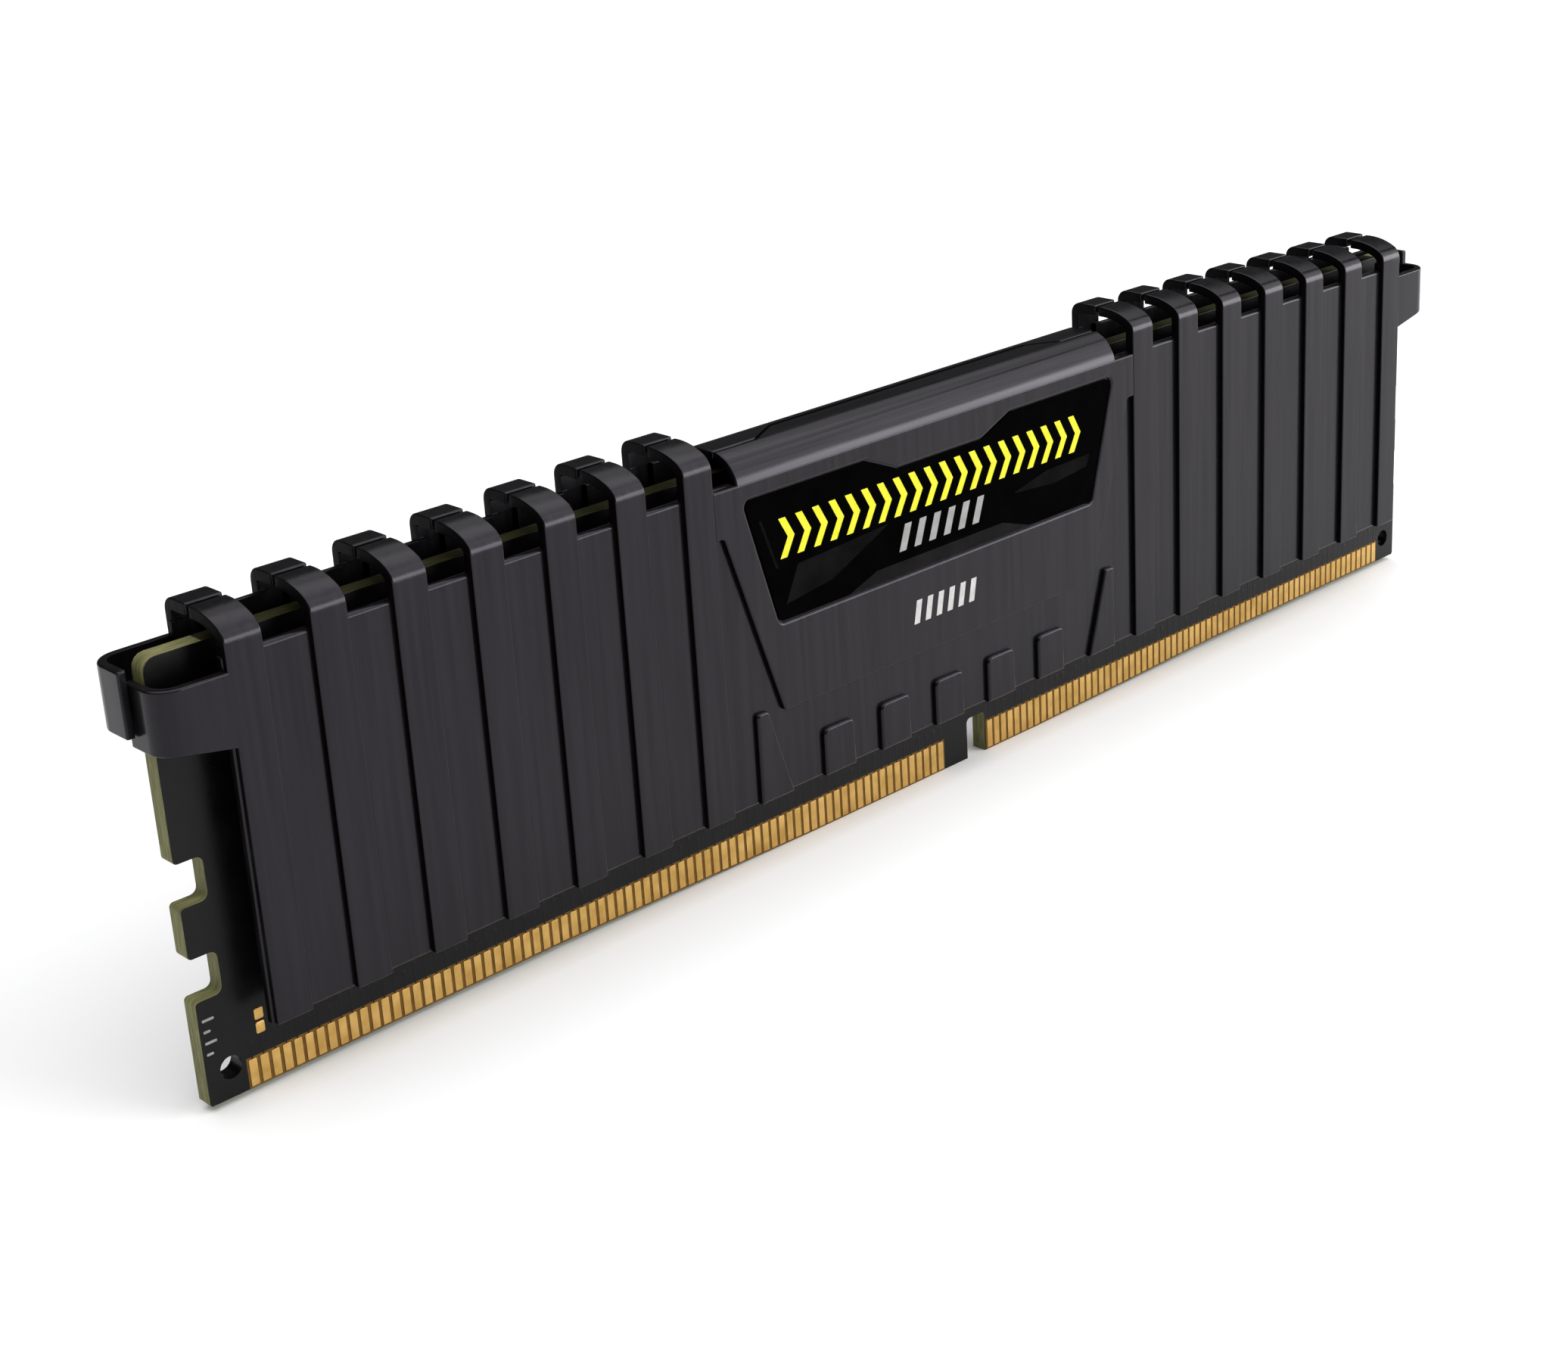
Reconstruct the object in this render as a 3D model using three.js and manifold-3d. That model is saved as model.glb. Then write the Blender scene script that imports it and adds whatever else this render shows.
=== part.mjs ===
// A desktop memory module with a low-profile stamped heat spreader.
// Millimetres. X runs along the module, Y from its front to its rear, Z up.
// The origin is the middle of the lowest stretch of the contact edge, half-way through the board.
// A depth is a distance from the middle of the board towards the front or the rear.
import * as THREE from "three";
import { mergeVertices } from "three/addons/utils/BufferGeometryUtils.js";
import Module from "manifold-3d";

const wasm = await Module();
wasm.setup();

// ---- driving dimensions -------------------------------------------------------------------------

const BOARD = {
  length: 133.35,
  height: 31.25,
  thickness: 1.4,
  endRise: 0.5, // the contact edge is this much higher at its ends than in its middle
  flatHalf: 13, // half the length of the low middle stretch
  rampHalf: 37.8, // where the ramps reach the high end stretches
  topRadius: 0.9,
  bottomCut: 0.15,
  keyCentre: 5.575,
  keyWidth: 2.15,
  keyTop: 3.5,
  keyRadius: 0.4,
  latchSpans: [[8, 11], [14.6, 17.6]],
  latchDepth: 2,
  latchRootRadius: 0.5,
  latchMouthRadius: 0.3,
  holeX: 64.85,
  holeZ: 2.65,
  holeRadius: 0.8,
};

const CONTACT = {
  pitch: 0.85,
  width: 0.6,
  top: 2.55,
  edgeGap: 0.15,
  proud: 0.04,
  barHeight: 0.25, // the plating bar that joins a row of pads under the spreader's lower edge
  left: { firstX: -63.325, count: 77 },
  right: { firstX: 7.225, count: 67 },
};

const TEST_PAD = { x: -62.45, width: 0.65, height: 0.8, bottoms: { lower: 4.13, upper: 5.13 } };

const PLATE = {
  face: 3.35, // depth of the raised areas' outer face
  step: 0.4, // how far the raised areas stand out of the panel
  sheet: 0.6,
  bottom: 5.65,
  top: 30.8, // top edge of the shield, where the lip grows from it
  halfLength: 62.6,
  // The panel's top edge between the straps, at the plate's ends and beside the lip.
  notchFloor: { front: { end: 30.7, middle: 30.9 }, rear: { end: 31.8, middle: 32.2 } },
};

const RIB = { countPerHalf: 7, pitch: 6.1, width: 2.65 };

const STRAP = {
  sheet: 0.8,
  rise: 1.05, // the straps beside the middle stand this much higher than the end ones
  // The bends are [radius, lean when it ends], where a lean of 90 degrees is level.
  front: { bendZ: 31.45, bends: [[1.3, 62], [5.5, 90]], tip: -0.4 },
  rear: { bendZ: 32.35, bends: [[0.95, 90]], tip: 0.75 },
};

const LIP = {
  halfWidth: 21.1,
  line: [[3.35, 31], [2.6, 32.4], [2.1, 32.8], [0.65, 32.95]], // [depth, height], from the face up
  tongueHalf: 14, // the front lip's tongue reaches over the middle as far as this
  shoulderHalf: 17,
  tongueY: 0.5,
  shoulderY: -1.2,
  seam: 0.3,
};

const EAR = {
  radius: 1.8,
  root: 61,
  taperEnd: 66.2,
  front: { wallX: 67.5, tip: -0.5, top: 29.8, rootBottom: 24.8, tipBottom: 25.5 },
  rear: { wallX: 68.2, tip: -0.4, top: 30.8, rootBottom: 25.7, tipBottom: 26.4 },
};

const SHIELD = { topHalf: 23.4, shoulderHalf: 22.6, shoulder: 27.2, bottomHalf: 17.8, bottom: 12.4 };

const TAB = { count: 5, pitch: 6.15, width: 3.3, top: 9.55 };
const TAPER_TAB = { outerX: 20.6, innerTopX: 19.4, innerBottomX: 17.2, top: 12.95 };

const LABEL = { topHalf: 20.5, bottomHalf: 17.65, top: 29.4, bottom: 19.4, radius: 0.5, thickness: 0.15 };
const LABEL_NOTCH = { topHalf: 8.1, bottomHalf: 4.7, bottom: 27.95 }; // cut out of the label's top edge
const POCKET = { depth: 0.25, margin: 0.15 };

const CHIP = {
  width: 7.5,
  height: 11,
  thickness: 1.1,
  bottom: 11.5,
  substrate: 0.35,
  mouldInset: 0.1,
  columns: [-53.5, -40.5, -27.5, -14.5, 14.5, 27.5, 40.5, 53.5],
};

const THERMAL_PAD = { innerX: 9.5, outerX: 58.5, bottom: 11, top: 23 };
const DETECT_CHIP = { width: 3, height: 2, thickness: 0.75, bottom: 14.2 };
const PASSIVE_COLUMNS = [-47, -21, 21, 47];
const RESISTOR_ARRAY = { width: 2, height: 1, thickness: 0.5, bottom: 7.2 };
const CAPACITOR = { width: 1.6, height: 0.8, thickness: 0.8, bottom: 25.6 };

// ---- finishes -----------------------------------------------------------------------------------

const finish = (color, roughness, metalness) =>
  new THREE.MeshStandardMaterial({ color, roughness, metalness });

const FINISH = {
  board: finish(0x1d1c1e, 0.5, 0),
  gold: finish(0xc79a4c, 0.3, 1),
  anodised: finish(0x37373a, 0.5, 0.6),
  label: finish(0x0b0b0c, 0.25, 0),
  chip: finish(0x17171a, 0.6, 0),
  thermal: finish(0x8d8f94, 0.9, 0),
  resistor: finish(0x202024, 0.5, 0),
  capacitor: finish(0x8a6f52, 0.5, 0),
};

// ---- geometry helpers ---------------------------------------------------------------------------

// Each side of the board: the sign of its Y direction.
const SIDES = { front: -1, rear: 1 };
const X_ENDS = { left: -1, right: 1 };

function solidFromGeometry(geometry) {
  geometry.deleteAttribute("normal");
  geometry.deleteAttribute("uv");
  const merged = mergeVertices(geometry, 1e-4);
  const mesh = new wasm.Mesh({
    numProp: 3,
    vertProperties: merged.attributes.position.array,
    triVerts: new Uint32Array(merged.index.array),
  });
  return new wasm.Manifold(mesh);
}

function meshFromSolid(name, solid, material) {
  const { vertProperties, triVerts } = solid.getMesh();
  const geometry = new THREE.BufferGeometry();
  geometry.setAttribute("position", new THREE.BufferAttribute(vertProperties, 3));
  geometry.setIndex(new THREE.BufferAttribute(triVerts, 1));
  geometry.computeVertexNormals();
  const mesh = new THREE.Mesh(geometry, material);
  mesh.name = name;
  return mesh;
}

// Extrudes a shape; the basis says which way its two drawing axes and its depth run.
function extrude(shape, depth, basis, origin) {
  const geometry = new THREE.ExtrudeGeometry(shape, { depth, bevelEnabled: false, curveSegments: 6 });
  const axes = basis.map((axis) => new THREE.Vector3(...axis));
  geometry.applyMatrix4(new THREE.Matrix4().makeBasis(...axes).setPosition(...origin));
  return solidFromGeometry(geometry);
}

// A shape drawn in Y and Z, given length from x0 to x1.
function alongX(shape, x0, x1) {
  return extrude(shape, x1 - x0, [[0, 1, 0], [0, 0, 1], [1, 0, 0]], [x0, 0, 0]);
}

// A shape drawn in X and Z, given thickness from y0 to y1.
function alongY(shape, y0, y1) {
  return extrude(shape, y1 - y0, [[1, 0, 0], [0, 0, 1], [0, -1, 0]], [0, y1, 0]);
}

// A shape drawn in X and Y, given height from z0 to z1.
function alongZ(shape, z0, z1) {
  return extrude(shape, z1 - z0, [[1, 0, 0], [0, 1, 0], [0, 0, 1]], [0, 0, z0]);
}

// A shape drawn in X and Z, given thickness between two depths on one side of the board.
function slab(shape, side, depth0, depth1) {
  const low = Math.min(side * depth0, side * depth1);
  return alongY(shape, low, low + Math.abs(depth1 - depth0));
}

// A closed outline through [u, v, radius] corners; a corner that has a radius is rounded.
function outline(corners) {
  const shape = new THREE.Shape();
  corners.forEach(([u, v, radius = 0], i) => {
    const here = new THREE.Vector2(u, v);
    const back = new THREE.Vector2(...corners.at(i - 1)).sub(here).normalize();
    const ahead = new THREE.Vector2(...corners[(i + 1) % corners.length]).sub(here).normalize();
    const reach = radius ? radius / Math.tan(back.angleTo(ahead) / 2) : 0;
    const start = here.clone().addScaledVector(back, reach);
    const end = here.clone().addScaledVector(ahead, reach);
    if (i === 0) shape.moveTo(start.x, start.y);
    else shape.lineTo(start.x, start.y);
    if (radius) shape.quadraticCurveTo(here.x, here.y, end.x, end.y);
  });
  shape.closePath();
  return shape;
}

const box = (u0, v0, u1, v1) => [[u0, v0], [u1, v0], [u1, v1], [u0, v1]];
const rectangle = (...corners) => outline(box(...corners));
const union = (solids) => solids.reduce((whole, solid) => whole.add(solid));
const mirrored = (points) => points.map(([u, ...rest]) => [-u, ...rest]).reverse();

// Sheet metal along a line of [u, v] points: the line is its outer face, and the sheet lies to its left.
function sheetOutline(line, signU, thickness = PLATE.sheet) {
  const path = line.map(([u, v]) => new THREE.Vector2(u, v));
  const inner = path.map((point, i) => {
    const arriving = point.clone().sub(path[Math.max(i - 1, 0)]).normalize();
    const leaving = path[Math.min(i + 1, path.length - 1)].clone().sub(point).normalize();
    const along = arriving.clone().add(leaving).normalize();
    const lean = Math.max(along.dot(arriving), along.dot(leaving));
    return point.clone().addScaledVector(new THREE.Vector2(-along.y, along.x), thickness / lean);
  });
  return outline([...path, ...inner.reverse()].map((point) => [signU * point.x, point.y]));
}

// Points of an arc that turns to the left, from one lean to another; a lean of 0 runs along v.
function bend([u, v], radius, from, to) {
  const steps = 5;
  const start = THREE.MathUtils.degToRad(from);
  return Array.from({ length: steps + 1 }, (_, i) => {
    const lean = THREE.MathUtils.degToRad(from + ((to - from) * i) / steps);
    return [u - radius * (Math.cos(start) - Math.cos(lean)), v + radius * (Math.sin(lean) - Math.sin(start))];
  });
}

// ---- the board and its contacts -----------------------------------------------------------------

// Height of the contact edge at x: low in the middle, high at both ends, with a ramp between.
function edgeHeight(x) {
  const along = (Math.abs(x) - BOARD.flatHalf) / (BOARD.rampHalf - BOARD.flatHalf);
  return BOARD.endRise * THREE.MathUtils.clamp(along, 0, 1);
}

// The right-hand end of the board's outline, from the contact edge up to the top corner.
function boardEnd() {
  const end = BOARD.length / 2;
  const root = end - BOARD.latchDepth;
  const latches = BOARD.latchSpans.flatMap(([low, high]) => [
    [end, low, BOARD.latchMouthRadius],
    [root, low, BOARD.latchRootRadius],
    [root, high, BOARD.latchRootRadius],
    [end, high, BOARD.latchMouthRadius],
  ]);
  return [
    [BOARD.flatHalf, 0],
    [BOARD.rampHalf, BOARD.endRise],
    [end - BOARD.bottomCut, BOARD.endRise],
    [end, BOARD.endRise + BOARD.bottomCut],
    ...latches,
    [end, BOARD.height, BOARD.topRadius],
  ];
}

function makeBoard() {
  const half = BOARD.thickness / 2;
  const keyLeft = BOARD.keyCentre - BOARD.keyWidth / 2;
  const keyRight = keyLeft + BOARD.keyWidth;
  const key = [
    [keyLeft, 0],
    [keyLeft, BOARD.keyTop, BOARD.keyRadius],
    [keyRight, BOARD.keyTop, BOARD.keyRadius],
    [keyRight, 0],
  ];
  const profile = outline([...key, ...boardEnd(), ...mirrored(boardEnd())]);
  for (const x of [-BOARD.holeX, BOARD.holeX]) {
    profile.holes.push(new THREE.Path().absarc(x, BOARD.holeZ, BOARD.holeRadius, 0, 2 * Math.PI, true));
  }
  return meshFromSolid("board", alongY(profile, -half, half), FINISH.board);
}

// One row of pads as a comb: each pad's foot follows the contact edge, and a thin bar joins their tops.
function makeContacts(name, side, { firstX, count }) {
  const half = CONTACT.width / 2;
  const barTop = CONTACT.top + CONTACT.barHeight;
  const lastX = firstX + (count - 1) * CONTACT.pitch;
  const pads = Array.from({ length: count }, (_, i) => {
    const x = firstX + i * CONTACT.pitch;
    const foot = edgeHeight(x) + CONTACT.edgeGap;
    return [[x - half, CONTACT.top], [x - half, foot], [x + half, foot], [x + half, CONTACT.top]];
  });
  const comb = outline([...pads.flat(), [lastX + half, barTop], [firstX - half, barTop]]);
  const surface = BOARD.thickness / 2;
  return meshFromSolid(name, slab(comb, side, surface, surface + CONTACT.proud), FINISH.gold);
}

function makeTestPads() {
  const surface = BOARD.thickness / 2;
  const half = TEST_PAD.width / 2;
  return Object.entries(TEST_PAD.bottoms).map(([place, z]) => {
    const shape = rectangle(TEST_PAD.x - half, z, TEST_PAD.x + half, z + TEST_PAD.height);
    const solid = slab(shape, SIDES.front, surface, surface + CONTACT.proud);
    return meshFromSolid(`test_pad_${place}`, solid, FINISH.gold);
  });
}

// ---- the heat spreader --------------------------------------------------------------------------

const PANEL_OUTER = PLATE.face - PLATE.step;
const PANEL_INNER = PANEL_OUTER - PLATE.sheet;
const RAISED_INNER = PLATE.face - PLATE.sheet;
const THROUGH = 0.05; // how far a hollow runs past the top edge it opens
const ROOT_LAP = 1; // how far a strap's root reaches down into the rib it grows from

// The left edge of each rib, from the left end of the plate to the right.
function ribEdges() {
  const leftHalf = Array.from({ length: RIB.countPerHalf }, (_, i) => -PLATE.halfLength + i * RIB.pitch);
  return [...leftHalf, ...leftHalf.map((x) => -x - RIB.width).reverse()];
}

// Raised areas are embossed: each is { corners, hollow }, the boss outside and the hollow behind it.
function raisedStrip(x, width, top, hollowTop) {
  const inset = PLATE.sheet;
  return {
    corners: box(x, PLATE.bottom, x + width, top),
    hollow: box(x + inset, PLATE.bottom - 1, x + width - inset, hollowTop),
  };
}

function raisedShield() {
  const inset = PLATE.sheet;
  const rightHalf = [
    [SHIELD.bottomHalf, SHIELD.bottom],
    [SHIELD.shoulderHalf, SHIELD.shoulder],
    [SHIELD.topHalf, SHIELD.shoulder],
    [SHIELD.topHalf, PLATE.top],
  ];
  const rightHollow = [
    [SHIELD.bottomHalf - inset, SHIELD.bottom + inset],
    [SHIELD.shoulderHalf - 2 * inset, SHIELD.shoulder],
    [LIP.halfWidth - inset, PLATE.top + THROUGH],
  ];
  return {
    corners: [...rightHalf, ...mirrored(rightHalf)],
    hollow: [...rightHollow, ...mirrored(rightHollow)],
  };
}

function raisedTaperTab(end) {
  const { outerX, innerTopX, innerBottomX, top } = TAPER_TAB;
  const inset = PLATE.sheet;
  const corners = [
    [innerBottomX, PLATE.bottom],
    [outerX, PLATE.bottom],
    [outerX, top],
    [innerTopX, top],
  ];
  const hollow = [
    [innerBottomX + 2 * inset, PLATE.bottom - 1],
    [outerX - inset, PLATE.bottom - 1],
    [outerX - inset, top - 4 * inset],
  ];
  const place = (points) => points.map(([x, z]) => [end * x, z]);
  return { corners: place(corners), hollow: place(hollow) };
}

// Height of the panel's top edge at x: it rises a little from the plate's ends to the lip.
function notchFloor(face, x) {
  const { end, middle } = PLATE.notchFloor[face];
  return THREE.MathUtils.mapLinear(Math.abs(x), PLATE.halfLength, LIP.halfWidth, end, middle);
}

function raisedAreas(face) {
  const ribs = ribEdges().map((x) => {
    const top = notchFloor(face, x + RIB.width / 2);
    return raisedStrip(x, RIB.width, top, top + THROUGH);
  });
  const tabs = Array.from({ length: TAB.count }, (_, i) => {
    const centre = (i - (TAB.count - 1) / 2) * TAB.pitch;
    return raisedStrip(centre - TAB.width / 2, TAB.width, TAB.top, TAB.top - PLATE.sheet);
  });
  const taperTabs = Object.values(X_ENDS).map(raisedTaperTab);
  return [...ribs, ...tabs, ...taperTabs, raisedShield()];
}

// How much higher the strap of the rib at x stands than the end ones.
function strapRise(x) {
  const fromEnd = PLATE.halfLength - RIB.width / 2 - Math.abs(x + RIB.width / 2);
  return (STRAP.rise * fromEnd) / ((RIB.countPerHalf - 1) * RIB.pitch);
}

// A strap runs up the face, round its bends and across the top of the board to its tip.
function makeStrap(side, { bendZ, bends, tip }, x) {
  const line = [[PLATE.face, PLATE.top - ROOT_LAP], [PLATE.face, bendZ + strapRise(x)]];
  let lean = 0;
  for (const [radius, nextLean] of bends) {
    line.push(...bend(line.at(-1), radius, lean, nextLean).slice(1));
    lean = nextLean;
  }
  line.push([tip, line.at(-1)[1]]);
  return alongX(sheetOutline(line, side, STRAP.sheet), x, x + RIB.width);
}

// The lip is one wide strap; the front one ends in a tongue and the rear one in the matching recess.
function makeLip(side) {
  const isFront = side === SIDES.front;
  const reach = isFront ? -LIP.tongueY : LIP.shoulderY + LIP.seam;
  const line = [[PLATE.face, PLATE.top - ROOT_LAP], ...LIP.line, [reach, LIP.line.at(-1)[1]]];
  const whole = alongX(sheetOutline(line, side), -LIP.halfWidth, LIP.halfWidth);
  const beyond = LIP.halfWidth + 1;
  const seamY = isFront ? 0 : LIP.seam;
  const seamHalf = [
    [LIP.tongueHalf, LIP.tongueY + seamY],
    [LIP.shoulderHalf, LIP.shoulderY + seamY],
    [beyond, LIP.shoulderY + seamY],
  ];
  const farY = -side * (PLATE.face + 1);
  const removed = outline([...mirrored(seamHalf), ...seamHalf, [beyond, farY], [-beyond, farY]]);
  return whole.subtract(alongZ(removed, PLATE.top + 1, PLATE.top + 4));
}

// An ear carries on from the face, turns round the end of the board and ends in a tapered tab.
function makeEar(side, { wallX, tip, top, rootBottom, tipBottom }, end) {
  const curve = bend([wallX, PLATE.face - EAR.radius], EAR.radius, 0, 90);
  const quarter = sheetOutline([[wallX, tip], ...curve, [EAR.root, PLATE.face]], end);
  const profile = [
    [EAR.root, rootBottom],
    [PLATE.halfLength, rootBottom],
    [EAR.taperEnd, tipBottom],
    [wallX + 1, tipBottom],
    [wallX + 1, top],
    [EAR.root, top],
  ];
  const window = outline(profile.map(([x, z]) => [end * x, z]));
  const wall = alongZ(quarter, rootBottom - 1, top + 1).scale([1, side, 1]);
  return wall.intersect(slab(window, side, tip - 1, PLATE.face + 1));
}

function labelCorners(margin) {
  const radius = LABEL.radius + margin;
  const rightHalf = [
    [LABEL.bottomHalf + margin, LABEL.bottom - margin, radius],
    [LABEL.topHalf + margin, LABEL.top + margin, radius],
    [LABEL_NOTCH.topHalf - margin, LABEL.top + margin],
    [LABEL_NOTCH.bottomHalf - margin, LABEL_NOTCH.bottom + margin],
  ];
  return [...rightHalf, ...mirrored(rightHalf)];
}

// The panel reaches up to the notch floors beside the lip, and to the lip's root under it.
function makePanel(face) {
  const underLip = LIP.halfWidth + 1;
  const { end, middle } = PLATE.notchFloor[face];
  const beside = [
    [LIP.halfWidth, PLATE.bottom],
    [PLATE.halfLength, PLATE.bottom],
    [PLATE.halfLength, end],
    [LIP.halfWidth, middle],
  ];
  const areas = [box(-underLip, PLATE.bottom, underLip, PLATE.top), beside, mirrored(beside)];
  return areas.map((corners) => slab(outline(corners), SIDES[face], PANEL_INNER, PANEL_OUTER));
}

function makePlate(face) {
  const side = SIDES[face];
  const areas = raisedAreas(face);
  const bosses = areas.map(({ corners }) => slab(outline(corners), side, PANEL_INNER, PLATE.face));
  const hollows = areas.map(({ hollow }) => slab(outline(hollow), side, PANEL_INNER - 1, RAISED_INNER));
  const pocket = slab(outline(labelCorners(POCKET.margin)), side, PLATE.face - POCKET.depth, PLATE.face + 1);
  const straps = ribEdges().map((x) => makeStrap(side, STRAP[face], x));
  const ears = Object.values(X_ENDS).map((end) => makeEar(side, EAR[face], end));
  const stamped = [...makePanel(face), ...bosses];
  const pressed = [...hollows, pocket].reduce((left, tool) => left.subtract(tool), union(stamped));
  const plate = union([pressed, makeLip(side), ...straps, ...ears]);
  return meshFromSolid(`heat_spreader_${face}`, plate, FINISH.anodised);
}

function makeLabel(face) {
  const floor = PLATE.face - POCKET.depth;
  const solid = slab(outline(labelCorners(0)), SIDES[face], floor, floor + LABEL.thickness);
  return meshFromSolid(`label_${face}`, solid, FINISH.label);
}

// ---- what lies between the plates and the board -------------------------------------------------

const BOARD_FACE = BOARD.thickness / 2;

// A brick that stands on the board's face, centred on x.
function brick(side, x, { width, height, thickness, bottom }) {
  const shape = rectangle(x - width / 2, bottom, x + width / 2, bottom + height);
  return slab(shape, side, BOARD_FACE, BOARD_FACE + thickness);
}

// A memory chip: a moulded body on a slightly larger substrate.
function makeMemoryChip(face, x, number) {
  const mould = {
    width: CHIP.width - 2 * CHIP.mouldInset,
    height: CHIP.height - 2 * CHIP.mouldInset,
    thickness: CHIP.thickness,
    bottom: CHIP.bottom + CHIP.mouldInset,
  };
  const substrate = brick(SIDES[face], x, { ...CHIP, thickness: CHIP.substrate });
  const body = substrate.add(brick(SIDES[face], x, mould));
  return meshFromSolid(`memory_chip_${face}_${number}`, body, FINISH.chip);
}

// The pad fills the space between the chips' tops and the panel's inner face.
function makeThermalPad(face, half) {
  const xs = [X_ENDS[half] * THERMAL_PAD.innerX, X_ENDS[half] * THERMAL_PAD.outerX];
  const shape = rectangle(Math.min(...xs), THERMAL_PAD.bottom, Math.max(...xs), THERMAL_PAD.top);
  const solid = slab(shape, SIDES[face], BOARD_FACE + CHIP.thickness, PANEL_INNER);
  return meshFromSolid(`thermal_pad_${face}_${half}`, solid, FINISH.thermal);
}

function makeBoardParts(face) {
  const side = SIDES[face];
  const chips = CHIP.columns.map((x, i) => makeMemoryChip(face, x, i + 1));
  const passives = PASSIVE_COLUMNS.flatMap((x, i) => [
    meshFromSolid(`resistor_array_${face}_${i + 1}`, brick(side, x, RESISTOR_ARRAY), FINISH.resistor),
    meshFromSolid(`capacitor_${face}_${i + 1}`, brick(side, x, CAPACITOR), FINISH.capacitor),
  ]);
  return [...chips, ...passives];
}

// ---- the module ---------------------------------------------------------------------------------

const memoryModule = new THREE.Group();
memoryModule.add(makeBoard(), ...makeTestPads());
for (const [face, side] of Object.entries(SIDES)) {
  memoryModule.add(
    makeContacts(`contacts_${face}_left`, side, CONTACT.left),
    makeContacts(`contacts_${face}_right`, side, CONTACT.right),
    ...makeBoardParts(face),
    ...Object.keys(X_ENDS).map((half) => makeThermalPad(face, half)),
    makePlate(face),
    makeLabel(face),
  );
}
const detectChip = brick(SIDES.front, 0, DETECT_CHIP);
memoryModule.add(meshFromSolid("presence_detect_chip", detectChip, FINISH.chip));

export default memoryModule;
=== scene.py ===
import math
import random

import bmesh
import bpy
from mathutils import Matrix, Vector


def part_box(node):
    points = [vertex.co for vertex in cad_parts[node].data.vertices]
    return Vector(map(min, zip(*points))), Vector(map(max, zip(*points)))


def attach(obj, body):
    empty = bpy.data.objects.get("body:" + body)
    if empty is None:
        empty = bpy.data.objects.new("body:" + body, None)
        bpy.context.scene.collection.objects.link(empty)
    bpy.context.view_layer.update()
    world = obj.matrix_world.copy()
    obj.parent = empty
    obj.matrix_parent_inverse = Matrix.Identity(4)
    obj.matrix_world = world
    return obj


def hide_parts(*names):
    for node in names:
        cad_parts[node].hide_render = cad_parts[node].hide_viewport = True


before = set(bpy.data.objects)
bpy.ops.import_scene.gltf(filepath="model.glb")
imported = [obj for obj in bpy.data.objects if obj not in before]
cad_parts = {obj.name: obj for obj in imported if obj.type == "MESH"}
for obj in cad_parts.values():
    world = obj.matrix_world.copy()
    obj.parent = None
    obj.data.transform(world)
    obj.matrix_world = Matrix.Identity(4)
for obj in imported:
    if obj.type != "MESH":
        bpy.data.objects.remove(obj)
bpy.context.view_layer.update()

# ---- driving dimensions, in millimetres ---------------------------------------------------------

MM = 0.001
SIDES = {"front": -1, "rear": 1}
HALVES = {"left": -1, "right": 1}

BOARD_HALF = 66.675
BOARD_FACE = 0.7
BOARD_TOP = 31.25
BOARD_TOP_RADIUS = 0.9
END_RISE = 0.5
FLAT_HALF = 13
RAMP_HALF = 37.8
BOTTOM_CUT = 0.15
KEY_CENTRE = 5.575
KEY_WIDTH = 2.15
KEY_TOP = 3.5
KEY_RADIUS = 0.4
LATCH_SPANS = ((8, 11), (14.6, 17.6))
LATCH_DEPTH = 2
LATCH_ROOT_RADIUS = 0.5
LATCH_MOUTH_RADIUS = 0.3
BOARD_EDGE = 0.04
HOLE = (64.85, 2.65, 0.8)

PAD_PITCH = 0.85
PAD_WIDTH = 0.6
PAD_TOP = 2.55
PAD_GAP = 0.15
PAD_PROUD = 0.04
PAD_RADIUS = 0.06
PAD_ROWS = {"left": (-63.325, 77), "right": (7.225, 67)}
TEST_PAD_RADIUS = 0.12
TRACE_LENGTHS = (1.1, 1.5, 1.9, 2.3)
TRACE_WIDTH = 0.12
TRACE_PROUD = 0.012
VIA_RADIUS = 0.2
TICK_COUNT = 4
TICK_PITCH = 0.8
TICK_CORNER = (-66.4, 4.1)
TICK_LENGTHS = (0.5, 0.85)
TICK_WIDTH = 0.18

FACE = 3.35
PANEL = 2.95
SHEET = 0.6
PANEL_INNER = PANEL - SHEET
RAISED_INNER = FACE - SHEET
PLATE_BOTTOM = 5.65
PANEL_TOP = 30.8
NOTCH_FLOORS = {"front": (30.7, 30.9), "rear": (31.8, 32.2)}
END_WALL_TOP = 31.4
PLATE_HALF = 62.6
PANEL_HALF = 62.75
PANEL_RADIUS = 0.05
PANEL_EDGES = (0.08, 0.28)
EDGE = 0.25

RIB_COUNT = 7
RIB_PITCH = 6.1
RIB_WIDTH = 2.65
RIB_EDGE = 0.1
STRAP_RISE = 1.05
STRAP_SHEET = 0.8
STRAPS = {
    "front": {"bend_z": 31.45, "bends": ((1.3, 62), (5.5, 90)), "tip": -0.4},
    "rear": {"bend_z": 32.35, "bends": ((0.95, 90),), "tip": 0.75},
}

LIP_HALF = 21.1
LIP_LINE = ((FACE, 31.05, 2.6), (2.45, 32.45, 1.6), (1.4, 32.92, 1.6))
LIP_TOP = 32.95
LIP_FLAT = (0.4, LIP_TOP, 1.0)
TONGUE_HALF = 14
SHOULDER_HALF = 17
TONGUE_Y = 0.5
SHOULDER_Y = -1.2
SEAM = 0.3
SEAM_RADIUS = 0.3

EAR_RADIUS = 1.8
EAR_ROOT = 61
EAR_TAPER_END = 66.2
EARS = {
    "front": {"wall": 67.5, "tip": -0.5, "top": 29.8, "root_bottom": 24.8, "tip_bottom": 25.5},
    "rear": {"wall": 68.2, "tip": -0.4, "top": 30.8, "root_bottom": 25.7, "tip_bottom": 26.4},
}

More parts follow.
